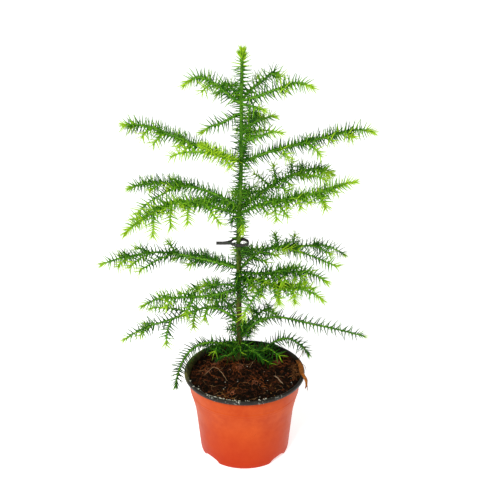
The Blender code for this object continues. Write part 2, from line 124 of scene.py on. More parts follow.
# Every bough, as in the model: tier, side, foot height (mm), heading, turn of the heading along it,
# length (mm), slope at its foot, one third, two thirds and tip (degrees), a bare limb solid or not, and
# side shoots. A side shoot: share of the bough where it starts, turn off the bough's heading,
# length (mm), slope at its start and at its tip.
BOUGHS = (
    ("1", "left", 100, 201, 3, 100, (37, 8, -60, -88), True, ()),
    ("1", "right", 91, 6, 10, 87, (0, 40, -30, -60), True, ()),
    ("1", "rear", 97, 82, 0, 72, (24, 8, -24, -56), False, ((0.4, 45, 18, 0, -35), (0.5, -45, 16, 0, -40))),
    ("1", "front_left", 97, 240, -26, 33, (18, 16, 0, -28), False, ()),
    ("1", "front_right", 97, -40, 0, 31, (28, 16, -4, -28), False, ((0.4, 40, 14, 6, -20),)),
    ("2", "left", 130, 184, -8, 132, (64, -20, -19, -46), True,
     ((0.26, 62, 13, -34, -66), (0.36, 60, 18, -48, -85), (0.57, 54, 27, -55, -88),
      (0.42, -34, 52, 4, -26), (0.7, -42, 20, -10, -35))),
    ("2", "right", 113, 8, 4, 146, (63, -15, -21, -23), True, ()),
    ("2", "rear_right", 117, 48, 3, 60, (17, 23, 4, -72), False, ((0.45, 45, 14, 10, -20),)),
    ("2", "rear", 122, 108, 4, 92, (26, 6, -14, -38), False,
     ((0.32, 48, 26, 4, -24), (0.36, -48, 24, 4, -24), (0.6, 44, 18, -8, -34), (0.62, -44, 16, -8, -34))),
    ("3", "left", 167, 194, 0, 99, (-15, -1, 10, -30), True,
     ((0.42, 50, 22, -20, -55), (0.4, -50, 24, 2, -20), (0.64, 44, 14, -10, -35), (0.66, -44, 16, 4, -20))),
    ("3", "right", 180, -34, 2, 96, (16, -10, 18, -28), True,
     ((0.31, -88, 48, -4, -36), (0.45, -58, 20, -10, -55), (0.62, -52, 18, 0, -50),
      (0.42, 50, 30, 5, -15), (0.66, 45, 18, 5, -20))),
    ("3", "rear_left", 168, 134, 0, 74, (-8, -18, -28, -44), False,
     ((0.4, 46, 20, -16, -36), (0.45, -46, 20, -16, -36))),
    ("4", "left", 190, 174, 1, 142, (16, 11, -11, -23), True,
     ((0.42, -52, 20, 28, 12), (0.44, 36, 40, -4, -26), (0.6, 42, 28, -6, -32), (0.74, 38, 20, -12, -36),
      (0.62, -44, 26, 2, -18), (0.78, -40, 16, -6, -24))),
    ("4", "rear_right", 189, 34, 4, 148, (43, -15, -13, -40), True,
     ((0.33, 60, 34, 6, -8), (0.46, 48, 26, 8, 0), (0.36, -38, 60, -16, -24), (0.62, -44, 24, -12, -34),
      (0.66, 44, 18, -10, -26))),
    ("4", "right", 186, -17, -2, 93, (-6, 20, 0, -35), True,
     ((0.36, -50, 24, 8, -24), (0.4, 48, 24, 8, -14), (0.64, 44, 18, 0, -28), (0.64, -44, 16, -4, -38))),
    ("4", "rear", 192, 84, 0, 104, (-2, -12, -20, -40), True,
     ((0.36, 46, 15, 8, -16), (0.4, -46, 24, 8, -16), (0.62, 42, 14, -8, -30), (0.64, -42, 14, -8, -30))),
    ("4", "rear_left", 190, 144, 0, 84, (4, -2, -12, -30), False,
     ((0.4, 44, 24, -6, -24), (0.46, -44, 24, -6, -24))),
    ("5", "left", 255, 162, -6, 122, (30, 6, -2, -34), True,
     ((0.46, 44, 56, -4, -44), (0.5, -46, 34, 2, -22), (0.72, -42, 20, -4, -28))),
    ("5", "front_left", 249, 210, -1, 126, (24, 24, -14, -41), True,
     ((0.3, 100, 26, -18, -44), (0.45, 62, 21, -45, -82), (0.59, 60, 22, -50, -85), (0.73, 55, 22, -50, -85),
      (0.44, -50, 26, 4, -28), (0.62, -44, 22, -10, -38))),
    ("5", "front", 249, -84, 0, 30, (-2, -10, -32, -62), False, ()),
    ("5", "right", 249, -12, -2, 118, (34, 13, 24, 12), True,
     ((0.27, -60, 21, -8, -76), (0.47, -56, 15, 6, -70), (0.66, -54, 20, 0, -62),
      (0.38, 50, 30, 8, -14), (0.59, 46, 22, 10, -12))),
    ("5", "rear_right", 253, 34, 6, 124, (27, 18, 2, -49), True,
     ((0.30, 88, 30, 12, 4), (0.36, 58, 34, 18, 6), (0.52, 50, 30, 14, 4), (0.56, -42, 32, 2, -26),
      (0.74, -40, 18, -10, -40))),
    ("5", "rear", 252, 87, 0, 92, (2, -6, -16, -38), True,
     ((0.38, 46, 12, 4, -18), (0.42, -46, 15, 4, -18), (0.64, 42, 12, -8, -30), (0.66, -42, 12, -8, -30))),
    ("5", "rear_left", 251, 134, 0, 74, (4, -4, -14, -36), False,
     ((0.42, 44, 20, -4, -26), (0.48, -44, 20, -4, -26))),
    ("6", "left", 301, 167, -3, 121, (17, 16, 19, -10), True,
     ((0.36, 54, 14, 4, -40), (0.62, 50, 17, -14, -56), (0.74, 48, 14, -14, -58), (0.44, -48, 28, 8, -14),
      (0.64, -44, 20, 8, -14), (0.87, 44, 9, -8, -40))),
    ("6", "front_left", 301, -132, 0, 60, (19, 29, 34, 26), False,
     ((0.5, -48, 46, 18, -18), (0.42, 68, 17, 2, -40))),
    ("6", "right", 300, 8, 6, 131, (22, 10, 16, -20), True,
     ((0.27, -62, 15, 14, -70), (0.46, -54, 21, -2, -46), (0.6, -56, 12, 12, -24), (0.74, -46, 11, 0, -34),
      (0.42, 48, 28, 8, -18), (0.64, 46, 20, 10, -18))),
    ("6", "rear", 301, 82, 0, 112, (18, 14, 10, -26), True,
     ((0.42, 44, 18, 8, -16), (0.4, -46, 30, 8, -16), (0.64, -42, 18, 4, -24), (0.66, 42, 12, 4, -24))),
    ("7", "left", 346, 200, 0, 42, (-18, -27, -7, -29), False, ()),
    ("7", "front_right", 355, -35, 0, 28, (-7, 0, 0, -25), False, ()),
    ("7", "right", 333, 28, 0, 39, (14, 18, 7, -24), False, ()),
    ("7", "low_right", 320, -10, 0, 39, (24, 22, 20, -20), False, ()),
    ("8", "left", 357, 172, 0, 62, (38, 38, 13, -52), False,
     ((0.46, 50, 16, -10, -40), (0.5, -50, 14, 14, -16))),
    ("8", "right", 359, -8, 0, 70, (14, 27, 16, -37), False,
     ((0.5, 46, 12, 10, -20), (0.52, -46, 10, 4, -30))),
    ("8", "rear_right", 360, 45, 3, 57, (43, 19, 20, -53), False, ((0.42, 52, 14, 20, 6),)),
    ("8", "rear_left", 358, 118, 0, 36, (32, 28, 8, -32), False, ()),
)

# How each tier's needles stand: length (mm), spacing along the stem (mm), angle off the stem
# (degrees), and age, from 0 for the darkest green to 4 for the youngest.
TIERS = {
    # Tier 1's low age is partly for older needles and partly painted shade under the crown.
    "1": (11.0, 0.66, 76, 0.8),
    "2": (11.2, 0.95, 76, 1.2),
    "3": (11.0, 0.72, 78, 1.4),
    "4": (11.2, 0.81, 78, 1.2),
    "5": (11.0, 0.53, 80, 1.6),
    "6": (11.0, 0.51, 82, 1.7),
    "7": (11.0, 0.78, 80, 2.0),
    "8": (11.6, 0.62, 84, 1.8),
}
# How much younger (or, below 0, older) a bough's needles are than its tier's, how far from the tip (mm)
# the fresh growth reaches, and the same for all other boughs.
YOUTH = {
    "6_front_left": (1.2, 34), "5_right": (0.3, 18), "5_front_left": (0.4, 16), "3_right": (0.4, 14),
    # The older needles of 1_front_left and 1_front_right are partly painted shade under the crown.
    "5_rear_right": (0.0, 12), "1_front_left": (-1.0, 0.2), "1_front_right": (-1.0, 0.2),
    "1_left": (0.0, 2), "1_right": (0.0, 2), "2_right": (-0.3, 4),
}
USUAL_YOUTH = (0, 9)
# How many further short shoots grow on a bough, and on any other bough of the rear.
FILL = {
    "5_right": 11, "5_rear_right": 9, "4_rear_right": 10, "4_right": 9, "3_right": 7, "5_left": 5,
    "5_front_left": 5, "6_left": 4, "6_right": 1, "4_left": 1, "2_left": 2, "8_rear_right": 1,
    "1_left": 3, "1_right": 3, "4_rear": 2,
}
REAR_FILL = 4
# Where on a bough its further shoots grow, as shares of its length, and the same for all other boughs.
FILL_REACH = {
    "5_right": (0.1, 0.8), "5_rear_right": (0.1, 0.75), "4_rear_right": (0.05, 0.5), "4_right": (0.06, 0.6),
    "3_right": (0.06, 0.6), "1_left": (0.08, 0.3), "1_right": (0.08, 0.3),
}
USUAL_REACH = (0.26, 0.86)
# Short shoots straight from the stem: height (mm), heading, length (mm), slope at foot and tip.
STEM_SHOOTS = (
    (187, -58, 24, 6, -30), (184, -100, 17, -6, -40), (181, -30, 26, -10, -42), (176, -76, 20, -18, -50),
    (186, -85, 14, 20, -10), (181, -64, 18, 0, -30), (172, -112, 14, -10, -40), (170, -50, 18, -20, -50),
    (247, -130, 14, 0, -40), (299, -60, 13, 20, -20), (104, -78, 13, 14, -50), (103, -118, 14, 26, -50),
    (104, -30, 15, 30, -40), (104, 178, 19, 34, -40), (128, -70, 12, 0, -40), (118, 150, 15, 16, -30),
    (120, -40, 14, 20, -40),
)
# The greens, from the oldest needles to the youngest.
GREENS = (
    ("deep", (0.009, 0.054, 0.004)),
    ("dark", (0.020, 0.102, 0.006)),
    ("mid", (0.062, 0.207, 0.008)),
    ("light", (0.165, 0.378, 0.014)),
    ("young", (0.340, 0.560, 0.020)),
)
NEEDLE_WIDTH = 1.32 * MM  # along the stem, near the needle's foot
NEEDLE_THICKNESS = 0.74 * MM
# A needle's width as a share of its foot's, at shares of its length.
NEEDLE_TAPER = ((0.0, 1.5), (0.12, 1.0), (0.4, 0.7), (0.75, 0.4))
TRUNK_SPACING = 0.51 * MM
SHOOT_SPACING = 0.8 * MM
TIP_ZONE = 15 * MM  # where the needles close up round a shoot's tip
# Needles of the trunk, of the bud at its tip, and of the short shoots from it: length (mm), angle off
# the stem, age, and how far from the tip (mm) the fresh growth reaches.
TRUNK_NEEDLES = (10.6, 92, 1.5, 10)
BUD_NEEDLES = (7.4, 40, 2.6, 3)
# The stem shoots' low age is partly for older needles and partly painted shade inside the crown.
STEM_SHOOT_NEEDLES = (9.8, 78, 0.7, 0.3)

# Stage
FLOOR_HALF = 8.0
KEY_PLACE = Vector((-0.45, -1.15, 1.25))
KEY_TARGET = Vector((0, 0, 0.18))
KEY_SIZE = 0.4
KEY_POWER = 20
CAMERA_PLACE = (0.0055, -0.8565, 0.6046)
CAMERA_PITCH = 65.76
LENS = 71.7


# --- routes of the stem, the boughs and the side shoots, as in the model ---


def interpolate(pairs, at):
    """The value at a place, read from (place, value) pairs in order."""
    for (low, value), (high, after) in zip(pairs, pairs[1:]):
        if at <= high:
            return value + (after - value) * (at - low) / (high - low)
    return pairs[-1][1]


def trunk_share(height):
    return (height - TRUNK_FOOT.z) / (TRUNK_TOP_HEIGHT - TRUNK_FOOT.z)


def trunk_point(height):
    share = trunk_share(height)
    x = TRUNK_FOOT.x + interpolate(TRUNK_SWAY, max(share, 0.0)) * MM
    return Vector((x, TRUNK_FOOT.y + TRUNK_LEAN * share, height))


def trunk_radius(height):
    flare = ROOT_FLARE * math.exp(-(height - TRUNK_FOOT.z) / (FLARE_HEIGHT / 2))
    return TRUNK_RADIUS + (TRUNK_TOP_RADIUS - TRUNK_RADIUS) * trunk_share(height) + flare


def limb_route(start, heading, sweep, length, slopes):
    """Points along a limb whose slope runs evenly through the given slopes."""
    knots = [(i / (len(slopes) - 1), slope) for i, slope in enumerate(slopes)]
    points = [start.copy()]
    for step in range(ROUTE_STEPS):
        share = (step + 0.5) / ROUTE_STEPS
        turn = math.radians(heading + sweep * share)
        slope = math.radians(interpolate(knots, share))
        run = Vector((math.cos(turn) * math.cos(slope), math.sin(turn) * math.cos(slope), math.sin(slope)))
        points.append(points[-1] + run * (length / ROUTE_STEPS))
    return points


def point_at(route, share):
    place = min(max(share, 0.0), 1.0) * (len(route) - 1)
    low = min(int(place), len(route) - 2)
    return route[low].lerp(route[low + 1], place - low)


def direction_at(route, share):
    return (point_at(route, share + 0.02) - point_at(route, share - 0.02)).normalized()


def bough_route(foot, heading, sweep, length, slopes):
    """The route from the trunk's surface. The length counts from the trunk's middle."""
    height = foot * MM
    clear = trunk_radius(height) + TRUNK_CLEARANCE
    turn = math.radians(heading)
    start = trunk_point(height) + Vector((math.cos(turn), math.sin(turn), 0)) * clear
    return limb_route(start, heading, sweep, length * MM - clear, slopes)


def shoot_route(route, at, turn, length, slope, tip_slope):
    run = direction_at(route, at)
    heading = math.degrees(math.atan2(run.y, run.x)) + turn
    return limb_route(point_at(route, at), heading, 0, length * MM, (slope, tip_slope))


# --- meshes ---


def new_object(name, data):
    made = bpy.data.objects.new(name, data)
    bpy.context.scene.collection.objects.link(made)
    return made


def new_piece(name, points, faces, material, replaces=()):
    """A smooth-shaded mesh of the object, riding on its one body. faces lists each face's corners."""
    mesh = bpy.data.meshes.new(name)
    mesh.from_pydata(np.asarray(points).tolist(), [], faces)
    mesh.validate()
    mesh.shade_smooth()
    mesh.materials.append(material)
    piece = new_object(name, mesh)
    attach(piece, "root")
    if replaces:
        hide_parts(*replaces)


class Body:
    """Points and faces of many small shapes, joined as they are added."""

    def __init__(self):
        self.points = []
        self.faces = []
        self.count = 0

    def add(self, points, faces):
        """points is an array of places, and faces lists each face's corners."""
        points = np.asarray(points, float).reshape(-1, 3)
        self.faces.extend([corner + self.count for corner in face] for face in faces)
        self.points.append(points)
        self.count += len(points)

    def make(self, name, material, slot=None, replaces=()):
        new_piece(name, np.concatenate(self.points), self.faces, material, replaces)


def spot(radius, angle):
    """The (x, y) at this radius and angle in radians."""
    return radius * math.cos(angle), radius * math.sin(angle)


def random_spot(rng, reach):
    """An (x, y) anywhere in the disc of this radius."""
    radius = reach * math.sqrt(rng.uniform(0, 1))
    return spot(radius, rng.uniform(0, 2 * math.pi))


def normalised(vectors):
    return vectors / np.linalg.norm(vectors, axis=1)[:, None]


def ring_faces(rings, sides, first=0):
    """Quads between rings of points, each ring counted the same way round."""
    ring, side = np.meshgrid(np.arange(rings - 1), np.arange(sides), indexing="ij")
    after = (side + 1) % sides
    low, high = ring * sides + first, (ring + 1) * sides + first
    return np.stack([low + side, low + after, high + after, high + side], -1).reshape(-1, 4)


def tube_faces(rings, sides):
    """Faces of a closed tube. Each ring is counted clockwise as seen from the ring after it."""
    last = (rings - 1) * sides
    ends = [list(range(sides)), [last + side for side in reversed(range(sides))]]
    return ring_faces(rings, sides)[:, TURNED].tolist() + ends


class Axis:
    """A limb's middle line and a frame along it that doesn't twist."""

    def __init__(self, points):
        self.points = np.array([tuple(point) for point in points])
        steps = np.diff(self.points, axis=0)
        lengths = np.linalg.norm(steps, axis=1)
        self.along = np.concatenate([[0.0], np.cumsum(lengths)])
        self.length = self.along[-1]
        self.forward = normalised(np.gradient(self.points, self.along, axis=0))
        across = np.cross(self.forward[0], (0.0, 0.0, 1.0))
        if np.linalg.norm(across) < 0.2:
            across = np.cross(self.forward[0], (0.0, 1.0, 0.0))
        sides = []
        for run in self.forward:
            across = across - run * across.dot(run)
            across = across / np.linalg.norm(across)
            sides.append(across)
        self.side = np.array(sides)

    def at(self, distance):
        """Place, forward, side and lift at distances along the line, each (n, 3)."""
        def read(values):
            return np.stack([np.interp(distance, self.along, values[:, i]) for i in range(3)], -1)
        forward = normalised(read(self.forward))
        side = read(self.side)
        side = normalised(side - forward * (side * forward).sum(1)[:, None])
        return read(self.points), forward, side, np.cross(side, forward)


def leaf_count(axis, spacing, tip_zone):
    """Needles from the foot to each point of an even grid along the axis, closer together at the tip."""
    grid = np.linspace(0, axis.length, 400)
    left = np.clip((axis.length - grid) / tip_zone, 0, 1)
    density = (1 + 1.2 * (1 - left) ** 2) / spacing
    counted = np.concatenate([[0.0], np.cumsum((density[1:] + density[:-1]) / 2 * np.diff(grid))])
    return grid, counted


def add_stem(body, axis, radius_of, sides, ring_gap, spacing, tip_zone, turn, relief):
    """A tapering tube whose surface swells into a boss under each needle."""
    rings = max(4, int(axis.length / ring_gap))
    distance = np.linspace(0, axis.length, rings)
    place, _, side, lift = axis.at(distance)
    counted = np.interp(distance, *leaf_count(axis, spacing, tip_zone))
    around = np.arange(sides) * 2 * math.pi / sides
    shape = np.zeros((rings, sides))
    for family in (3, 5):
        slip = family * GOLDEN_ANGLE / (2 * math.pi)
        slip -= round(slip)
        shape += np.cos(family * (around[None, :] - turn) - 2 * math.pi * slip * counted[:, None])
    swell = 1 + relief * (shape / 2 - 0.3)
    radius = np.array([radius_of(d / axis.length) for d in distance])[:, None] * swell
    add_tube(body, place, side, lift, around, radius)


def add_tube(body, place, side, lift, around, radius):
    """A closed tube of rings round the places. radius is (rings, sides) or (rings, 1)."""
    out = np.cos(around)[None, :, None] * side[:, None, :] + np.sin(around)[None, :, None] * lift[:, None, :]
    body.add(place[:, None, :] + out * radius[:, :, None], tube_faces(len(place), len(around)))


def needle_points(foot, forward, out, reach, opened, bend, lean, width):
    """Corners of n curved awls, (n, corners, 3): each one's four-sided rings in turn, then its tip.

    foot, forward and out are (n, 3). opened is a needle's angle off forward at its foot, bend how much
    it closes towards its tip, and lean its turn to one side, all in radians.
    """
    across = np.cross(forward, out)
    point, before = foot, 0.0
    corners = []
    for share, thick in (*NEEDLE_TAPER, (1.0, 0.0)):
        middle = (before + share) / 2
        tilt = (opened - bend * middle)[:, None]
        run = np.cos(tilt) * forward + np.sin(tilt) * out
        run = run + across * np.sin(lean * (0.3 + middle))[:, None]
        point = point + run * (reach * (share - before))[:, None]
        before = share
        tilt = (opened - bend * share)[:, None]
        half = (width * thick / 2)[:, None]
        edge = (np.cos(tilt) * out - np.sin(tilt) * forward) * half
        flank = across * NEEDLE_THICKNESS / NEEDLE_WIDTH * half
        corners += [point + edge, point + flank, point - edge, point - flank]
    return np.stack(corners[:-3], 1)  # the last ring has no width: one of its corners is the tip


def add_needles(bodies, axis, radius_of, rng, spacing, length, angle, age, fresh, tip_zone=TIP_ZONE,
                tip_angle=18, tip_share=0.58, start=0.0, kept=(0.96, 0.96), turn=0.0, curl=(4, 32)):
    """Curved awls in a golden-angle spiral on the axis, dealt out to the greens by age.

    kept is the share of needles that are there, at the axis's foot and from its middle on.
    """
    grid, counted = leaf_count(axis, spacing, tip_zone)
    numbers = np.arange(1, int(counted[-1]) + 1)
    distance = np.interp(numbers, counted, grid)
    chance = np.interp(distance / axis.length, (0.2, 0.5), kept)
    keep = (distance >= start) & (rng.random(len(numbers)) < chance)
    numbers, distance = numbers[keep], distance[keep]
    count = len(numbers)
    if not count:
        return
    place, forward, side, lift = axis.at(distance)
    around = numbers * GOLDEN_ANGLE + turn + rng.normal(0, 0.1, count)
    out = np.cos(around)[:, None] * side + np.sin(around)[:, None] * lift
    left = axis.length - distance
    close = np.clip(left / tip_zone, 0, 1)
    close = close * close * (3 - 2 * close)
    opened = np.radians(tip_angle + (angle - tip_angle) * close + rng.normal(0, 5, count))
    reach = length * MM * (tip_share + (1 - tip_share) * close ** 0.8) * rng.uniform(0.82, 1.1, count)
    bend = np.radians(rng.uniform(*curl, count) * close)
    lean = np.radians(rng.normal(0, 7, count))
    width = NEEDLE_WIDTH * (0.75 + 0.25 * close) * rng.uniform(0.9, 1.1, count)
    radius = np.array([radius_of(d / axis.length) for d in distance])
    foot = place + out * (radius * 0.55)[:, None]
    points = needle_points(foot, forward, out, reach, opened, bend, lean, width)
    bunch = np.floor(distance / (11 * MM)).astype(int)
    bunch_age = rng.normal(0, 0.32, bunch.max() + 2)[bunch]
    tip_age = 3.4 * np.exp(-(left / (fresh * MM)) ** 1.5)
    tone = np.clip(np.round(age + bunch_age + tip_age + rng.normal(0, 0.55, count)), 0, len(GREENS) - 1)
    faces, size = needle_faces(len(NEEDLE_TAPER)), points.shape[1]
    for index, body in enumerate(bodies):
        chosen = points[tone == index]
        starts = range(0, len(chosen) * size, size)
        body.add(chosen, [[start + corner for corner in face] for face in faces for start in starts])


def needle_faces(rings):
    """Faces of one four-sided needle with this many rings and a point."""
    faces = ring_faces(rings, 4).tolist()
    last, tip = (rings - 1) * 4, rings * 4
    faces.extend([last + side, last + (side + 1) % 4, tip] for side in range(4))
    faces.append([3, 2, 1, 0])
    return faces


# --- materials ---


def map_range(nodes, links, value, low, high, bottom=0.0, top=1.0):
    """value from low to high, spread over bottom to top and held there."""
    node = nodes.new("ShaderNodeMapRange")
    for name, number in (("From Min", low), ("From Max", high), ("To Min", bottom), ("To Max", top)):
        node.inputs[name].default_value = number
    links.new(value, node.inputs["Value"])
    return node.outputs["Result"]


class Shade:
    """A Principled material with the few node steps that its patterns need."""

    def __init__(self, name, roughness, specular=0.5):
        self.material = bpy.data.materials.new(name)
        self.material.use_nodes = True
        self.nodes = self.material.node_tree.nodes
        self.links = self.material.node_tree.links
        self.shader = self.nodes["Principled BSDF"]
        self.shader.inputs["Roughness"].default_value = roughness
        self.shader.inputs["Specular IOR Level"].default_value = specular
        self.place = self.nodes.new("ShaderNodeTexCoord").outputs["Object"]

    def noise(self, scale, detail=4.0, roughness=0.55, stretch=(1, 1, 1)):
        mapping = self.nodes.new("ShaderNodeMapping")
        mapping.inputs["Scale"].default_value = stretch
        self.links.new(self.place, mapping.inputs["Vector"])
        node = self.nodes.new("ShaderNodeTexNoise")
        for name, value in (("Scale", scale), ("Detail", detail), ("Roughness", roughness)):
            node.inputs[name].default_value = value
        self.links.new(mapping.outputs["Vector"], node.inputs["Vector"])
        return node.outputs["Fac"]

    def part(self, axis):
        node = self.nodes.new("ShaderNodeSeparateXYZ")
        self.links.new(self.place, node.inputs["Vector"])
        return node.outputs[axis]

    def between(self, *value_and_limits):
        return map_range(self.nodes, self.links, *value_and_limits)

    def patches(self, low, high, *scale_and_detail, **stretch):
        """Noise that is 0 under low and 1 over high."""
        return self.between(self.noise(*scale_and_detail, **stretch), low, high)

    def product(self, first, second):
        node = self.nodes.new("ShaderNodeMath")
        node.operation = "MULTIPLY"
        for socket, value in zip(node.inputs, (first, second)):
            self.links.new(value, socket)
        return node.outputs["Value"]

    def mix(self, factor, first, second):
        node = self.nodes.new("ShaderNodeMix")
        node.data_type = "RGBA"
        self.links.new(factor, node.inputs["Factor"])
        for name, value in (("A", first), ("B", second)):
            socket = next(s for s in node.inputs if s.name == name and s.type == "RGBA")
            if isinstance(value, tuple):
                socket.default_value = (*value, 1)
            else:
                self.links.new(value, socket)
        return next(s for s in node.outputs if s.type == "RGBA")

    def drive(self, name, value):
        self.links.new(value, self.shader.inputs[name])

    def bump(self, height, distance, strength=1.0):
        node = self.nodes.new("ShaderNodeBump")
        node.inputs["Distance"].default_value = distance
        node.inputs["Strength"].default_value = strength
        self.links.new(height, node.inputs["Height"])
        self.drive("Normal", node.outputs["Normal"])


def mottled(name, first, second, scale, roughness, rough_spread=0.1, bump=None, specular=0.5):
    """Two colours mixed by fine noise, with the roughness following it."""
    shade = Shade(name, roughness, specular)
    grain = shade.patches(0.32, 0.68, scale)
    shade.drive("Base Color", shade.mix(grain, first, second))
    shade.drive("Roughness", shade.between(grain, 0, 1, roughness - rough_spread, roughness + rough_spread))
    if bump:
        shade.bump(shade.noise(scale * 2.5), bump)
    return shade.material


def needle_material(name, colour):
    darker, lighter = (tuple(part * factor for part in colour) for factor in (0.85, 1.15))
    return mottled(f"needle_{name}", darker, lighter, 260, 0.55, specular=0.06)


def stem_material():
    """Olive-brown young bark at the foot, green further up, with a paler lengthwise grain."""
    shade = Shade("stem_bark", 0.6, 0.12)
    rise = shade.between(shade.part("Z"), 150 * MM, 290 * MM)
    patch = shade.patches(0.34, 0.66, 420, stretch=(1, 1, 0.2))
    old = shade.mix(patch, (0.022, 0.018, 0.004), (0.085, 0.080, 0.012))
    green = shade.mix(patch, (0.016, 0.078, 0.003), (0.075, 0.210, 0.008))
    shade.drive("Base Color", shade.mix(rise, old, green))
    shade.drive("Roughness", shade.between(patch, 0, 1, 0.45, 0.65))
    shade.bump(shade.noise(900, stretch=(1, 1, 0.3)), 0.25 * MM)
    return shade.material


def pot_material():
    """Thin terracotta-coloured sheet: satin, a little mottled, darker and redder near the foot as painted
    shade, with dark specks.
    """
    shade = Shade("terracotta_plastic", 0.38, 0.1)
    cloud = shade.patches(0.3, 0.7, 34, 8, 0.7)
    body = shade.mix(cloud, (0.380, 0.034, 0.002), (0.520, 0.078, 0.010))
    # Painted shade: the sheet darkens and reddens towards the foot.
    low = shade.between(shade.part("Z"), 4 * MM, 58 * MM, 0.85, 0.0)
    body = shade.mix(low, body, (0.390, 0.022, 0.001))
    specks = shade.product(shade.patches(0.70, 0.76, 620, 2), shade.patches(0.5, 0.66, 38, 3))
    shade.drive("Base Color", shade.mix(specks, body, (0.200, 0.030, 0.008)))
    shade.drive("Roughness", shade.between(shade.noise(60, 5), 0.3, 0.7, 0.36, 0.54))
    shade.bump(shade.noise(170, 5), 0.10 * MM)
    return shade.material


def lining_material():
    """Black plastic with algae along its left side and a bloom of dried salts at the front."""
    shade = Shade("black_plastic", 0.5, 0.2)
    cloud = shade.patches(0.3, 0.7, 90, 5)
    body = shade.mix(cloud, (0.004, 0.0034, 0.0022), (0.016, 0.0135, 0.009))
    left = shade.between(shade.part("X"), -40 * MM, -54 * MM)
    algae = shade.product(left, shade.between(shade.part("Y"), -26 * MM, -6 * MM))
    algae = shade.product(algae, shade.patches(0.30, 0.52, 150, 5))
    lip = shade.between(shade.part("Z"), 84 * MM, 87.5 * MM, 0.4, 1.0)
    body = shade.mix(shade.product(algae, lip), body, (0.120, 0.118, 0.022))
    front = shade.between(shade.part("Y"), -38 * MM, -52 * MM)
    salts = shade.product(shade.patches(0.56, 0.66, 520, 4), front)
    salts = shade.product(salts, shade.patches(0.46, 0.62, 70, 2))
    shade.drive("Base Color", shade.mix(salts, body, (0.42, 0.42, 0.36)))
    shade.drive("Roughness", shade.between(cloud, 0, 1, 0.34, 0.55))
    shade.bump(shade.noise(300, 4), 0.12 * MM)
    return shade.material


def peat_material():
    shade = Shade("peat", 0.95, 0.04)
    grain = shade.patches(0.36, 0.64, 420, 6, 0.65)
    body = shade.mix(grain, (0.0016, 0.0009, 0.0006), (0.013, 0.0062, 0.0028))
    shade.drive("Base Color", shade.mix(shade.patches(0.56, 0.72, 95, 4), body, (0.060, 0.017, 0.006)))
    shade.bump(shade.noise(1400, 6, 0.7), 0.6 * MM)
    return shade.material


# --- the plant ---


def tapered(foot, tip):
    return lambda share: foot + (tip - foot) * share


def wavy(route, rng, amount):
    """The route with a slight natural wander that is nothing at its start."""
    phases = rng.uniform(0, 2 * math.pi, 4)
    moved = []
    for index, point in enumerate(route):
        share = index / (len(route) - 1)
        bend = amount * share
        moved.append(point + Vector((
            bend * math.sin(5 * share + phases[0]) - bend * math.sin(phases[0]) * (1 - share),
            bend * math.sin(6 * share + phases[1]) - bend * math.sin(phases[1]) * (1 - share),
            bend * 0.8 * (math.sin(8 * share + phases[2]) + 0.4 * math.sin(17 * share + phases[3])),
        )))
    return moved


def make_trunk(greens):
    """The stem with its bosses, its own needles, and the flat-topped tuft at its tip."""
    rng = np.random.default_rng(4)
    heights = np.linspace(TRUNK_FOOT.z - 6 * MM, TRUNK_TOP_HEIGHT, 120)
    axis = Axis([trunk_point(height) for height in heights])
    low = heights[0]

    def radius_of(share):
        return trunk_radius(max(TRUNK_FOOT.z, low + (TRUNK_TOP_HEIGHT - low) * share))

    body = Body()
    add_stem(body, axis, radius_of, 24, 0.7 * MM, TRUNK_SPACING, TIP_ZONE, 0.0, 0.16)
    body.make("stem", stem_material(), "trunk_bark", ("trunk",))
    add_needles(greens, axis, radius_of, rng, TRUNK_SPACING, *TRUNK_NEEDLES, tip_angle=26, tip_share=0.68,
                start=14 * MM, kept=(0.5, 0.96), curl=(-6, 30))
    bud = Axis([trunk_point(TRUNK_TOP_HEIGHT + rise * MM) for rise in (-7, -4, -2, -0.5)])
    add_needles(greens, bud, tapered(2.2 * MM, 1.2 * MM), rng, 0.11 * MM, *BUD_NEEDLES, tip_zone=7 * MM,
                tip_angle=16, tip_share=0.8, curl=(-10, 26))


def filling_shoots(count, reach, rng):
    """Further side shoots for a bough, in the form of its listed ones."""
    shoots = []
    for number in range(count):
        share = reach[0] + (reach[1] - reach[0]) * (number + rng.uniform(0.1, 0.9)) / count
        side = 1 if number % 2 else -1
        turn = side * rng.uniform(34, 64)
        slope = rng.uniform(-14, 16)
        length = rng.uniform(11, 24) * (1.15 - 0.5 * share)
        shoots.append((share, turn, length, slope, slope - rng.uniform(12, 34)))
    return shoots


def clad_shoot(stems, greens, path, rng, needle, angle, age, fresh):
    """One side shoot with its needles."""
    axis = Axis(path)
    radius_of = tapered(SHOOT_RADIUS, SHOOT_TIP_RADIUS)
    turn = rng.uniform(0, 2 * math.pi)
    zone = min(0.55 * TIP_ZONE, 0.4 * axis.length)
    add_stem(stems, axis, radius_of, 8, LIMB_RING_GAP, SHOOT_SPACING, zone, turn, BOSS_RELIEF)
    add_needles(greens, axis, radius_of, rng, SHOOT_SPACING, needle, angle - 4, age, fresh, tip_zone=zone,
                tip_angle=36, tip_share=0.86, start=1.5 * MM, turn=turn)


